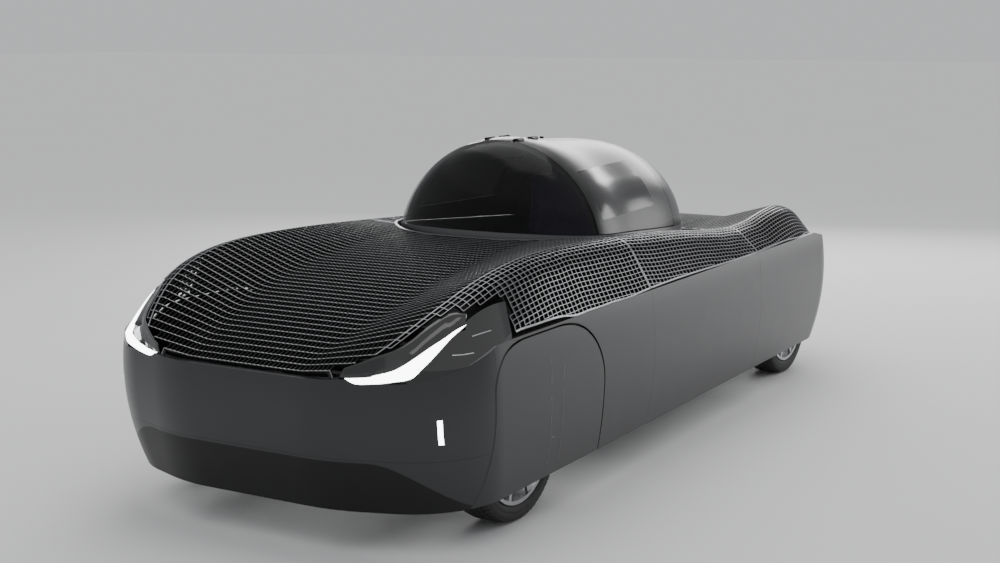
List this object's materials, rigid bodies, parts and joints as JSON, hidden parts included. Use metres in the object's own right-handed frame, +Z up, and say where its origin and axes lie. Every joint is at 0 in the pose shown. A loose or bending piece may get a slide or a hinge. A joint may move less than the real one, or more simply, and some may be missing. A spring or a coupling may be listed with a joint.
{
  "type": "flying car",
  "caption": "Road-going flying car: low body under an open mesh deck with rotors in bays front and rear, a round single-seat cabin pod in the middle, upward-opening doors, steered wheels.",
  "frame": {"origin": "ground level below the middle of the car's length", "axes": "+Z up, +X to the car's left side, the nose points to -Y"},
  "size_m": [2.0494, 5.2009, 1.672],
  "materials": {
    "body_paint": "satin metallic",
    "carbon": "satin",
    "chin_paint": "satin",
    "dark_trim": "matte",
    "frame_metal": "matte",
    "glass": "tinted",
    "gloss_black": "glossy",
    "lamp_red": "glossy",
    "lamp_white": "glossy, lit",
    "mesh": "satin",
    "pod_paint": "satin",
    "rim": "satin",
    "seat_cloth": "matte",
    "tyre": "matte"
  },
  "bodies": {
    "body": {"battery": "dark_trim", "cabin_tub": "pod_paint", "chin_panel": "chin_paint", "cross_beams": "frame_metal", "dashboard": "dark_trim", "front_mesh": "mesh", "front_rotor_frame": "frame_metal", "front_suspension": "frame_metal", "front_wing_left": "body_paint", "front_wing_right": "body_paint", "headlamps": "gloss_black", "lamp_strips": "lamp_white", "marker_lamps": "lamp_white", "mid_mesh": "mesh", "mid_side_left": "body_paint", "mid_side_right": "body_paint", "nose_fascia": "body_paint", "pod_cradle": "frame_metal", "rail_left": "frame_metal", "rail_right": "frame_metal", "rear_axle": "frame_metal", "rear_mesh": "mesh", "rear_quarter_left": "body_paint", "rear_quarter_right": "body_paint", "rear_rotor_frame": "frame_metal", "roof": "gloss_black", "seat": "seat_cloth", "tail_fascia": "body_paint", "tail_lamp": "lamp_red", "windscreen": "glass"},
    "steering_left": {"knuckle_left": "frame_metal", "wheel_cover_left": "body_paint"},
    "steering_right": {"knuckle_right": "frame_metal", "wheel_cover_right": "body_paint"},
    "wheel_front_left": {"tyre_front_left": "tyre", "rim_front_left": "rim"},
    "wheel_front_right": {"tyre_front_right": "tyre", "rim_front_right": "rim"},
    "wheel_rear_left": {"tyre_rear_left": "tyre", "rim_rear_left": "rim"},
    "wheel_rear_right": {"tyre_rear_right": "tyre", "rim_rear_right": "rim"},
    "door_left_body": {"door_left": "pod_paint", "door_glass_left": "glass"},
    "door_right_body": {"door_right": "pod_paint", "door_glass_right": "glass"},
    "rotor_front_1_left_body": {"rotor_front_1_left": "carbon"},
    "rotor_front_1_right_body": {"rotor_front_1_right": "carbon"},
    "rotor_front_2_left_body": {"rotor_front_2_left": "carbon"},
    "rotor_front_2_right_body": {"rotor_front_2_right": "carbon"},
    "rotor_rear_1_left_body": {"rotor_rear_1_left": "carbon"},
    "rotor_rear_1_right_body": {"rotor_rear_1_right": "carbon"},
    "rotor_rear_2_left_body": {"rotor_rear_2_left": "carbon"},
    "rotor_rear_2_right_body": {"rotor_rear_2_right": "carbon"}
  },
  "joints": [
    {"name": "steer_left", "type": "hinge", "parent": "body", "child": "steering_left", "pos_m": [0.68, -1.683, 0.4], "axis": [0, 0, 1], "range_deg": [-20, 20]},
    {"name": "steer_right", "type": "hinge", "parent": "body", "child": "steering_right", "pos_m": [-0.68, -1.683, 0.4], "axis": [0, 0, 1], "range_deg": [-20, 20]},
    {"name": "spin_wheel_front_left", "type": "hinge", "parent": "steering_left", "child": "wheel_front_left", "pos_m": [0.805, -1.683, 0.4], "axis": [1, 0, 0], "continuous": true},
    {"name": "spin_wheel_front_right", "type": "hinge", "parent": "steering_right", "child": "wheel_front_right", "pos_m": [-0.805, -1.683, 0.4], "axis": [1, 0, 0], "continuous": true},
    {"name": "spin_wheel_rear_left", "type": "hinge", "parent": "body", "child": "wheel_rear_left", "pos_m": [0.805, 1.945, 0.4], "axis": [1, 0, 0], "continuous": true},
    {"name": "spin_wheel_rear_right", "type": "hinge", "parent": "body", "child": "wheel_rear_right", "pos_m": [-0.805, 1.945, 0.4], "axis": [1, 0, 0], "continuous": true},
    {"name": "spin_rotor_front_1_left", "type": "hinge", "parent": "body", "child": "rotor_front_1_left_body", "pos_m": [0.42, -2, 0.848], "axis": [0, 0, 1], "continuous": true},
    {"name": "spin_rotor_front_1_right", "type": "hinge", "parent": "body", "child": "rotor_front_1_right_body", "pos_m": [-0.42, -2, 0.848], "axis": [0, 0, 1], "continuous": true},
    {"name": "spin_rotor_front_2_left", "type": "hinge", "parent": "body", "child": "rotor_front_2_left_body", "pos_m": [0.42, -1.21, 0.848], "axis": [0, 0, 1], "continuous": true},
    {"name": "spin_rotor_front_2_right", "type": "hinge", "parent": "body", "child": "rotor_front_2_right_body", "pos_m": [-0.42, -1.21, 0.848], "axis": [0, 0, 1], "continuous": true},
    {"name": "spin_rotor_rear_1_left", "type": "hinge", "parent": "body", "child": "rotor_rear_1_left_body", "pos_m": [0.42, 1.6, 0.848], "axis": [0, 0, 1], "continuous": true},
    {"name": "spin_rotor_rear_1_right", "type": "hinge", "parent": "body", "child": "rotor_rear_1_right_body", "pos_m": [-0.42, 1.6, 0.848], "axis": [0, 0, 1], "continuous": true},
    {"name": "spin_rotor_rear_2_left", "type": "hinge", "parent": "body", "child": "rotor_rear_2_left_body", "pos_m": [0.42, 2.2, 0.848], "axis": [0, 0, 1], "continuous": true},
    {"name": "spin_rotor_rear_2_right", "type": "hinge", "parent": "body", "child": "rotor_rear_2_right_body", "pos_m": [-0.42, 2.2, 0.848], "axis": [0, 0, 1], "continuous": true},
    {"name": "open_door_left", "type": "hinge", "parent": "body", "child": "door_left_body", "pos_m": [0.09, -0.205, 1.667], "axis": [0, -1, 0], "range_deg": [0, 65]},
    {"name": "open_door_right", "type": "hinge", "parent": "body", "child": "door_right_body", "pos_m": [-0.09, -0.205, 1.667], "axis": [0, 1, 0], "range_deg": [0, 65]}
  ],
  "couplings": [
    {"joint": "steer_right", "follows": "steer_left", "ratio": 1}
  ]
}
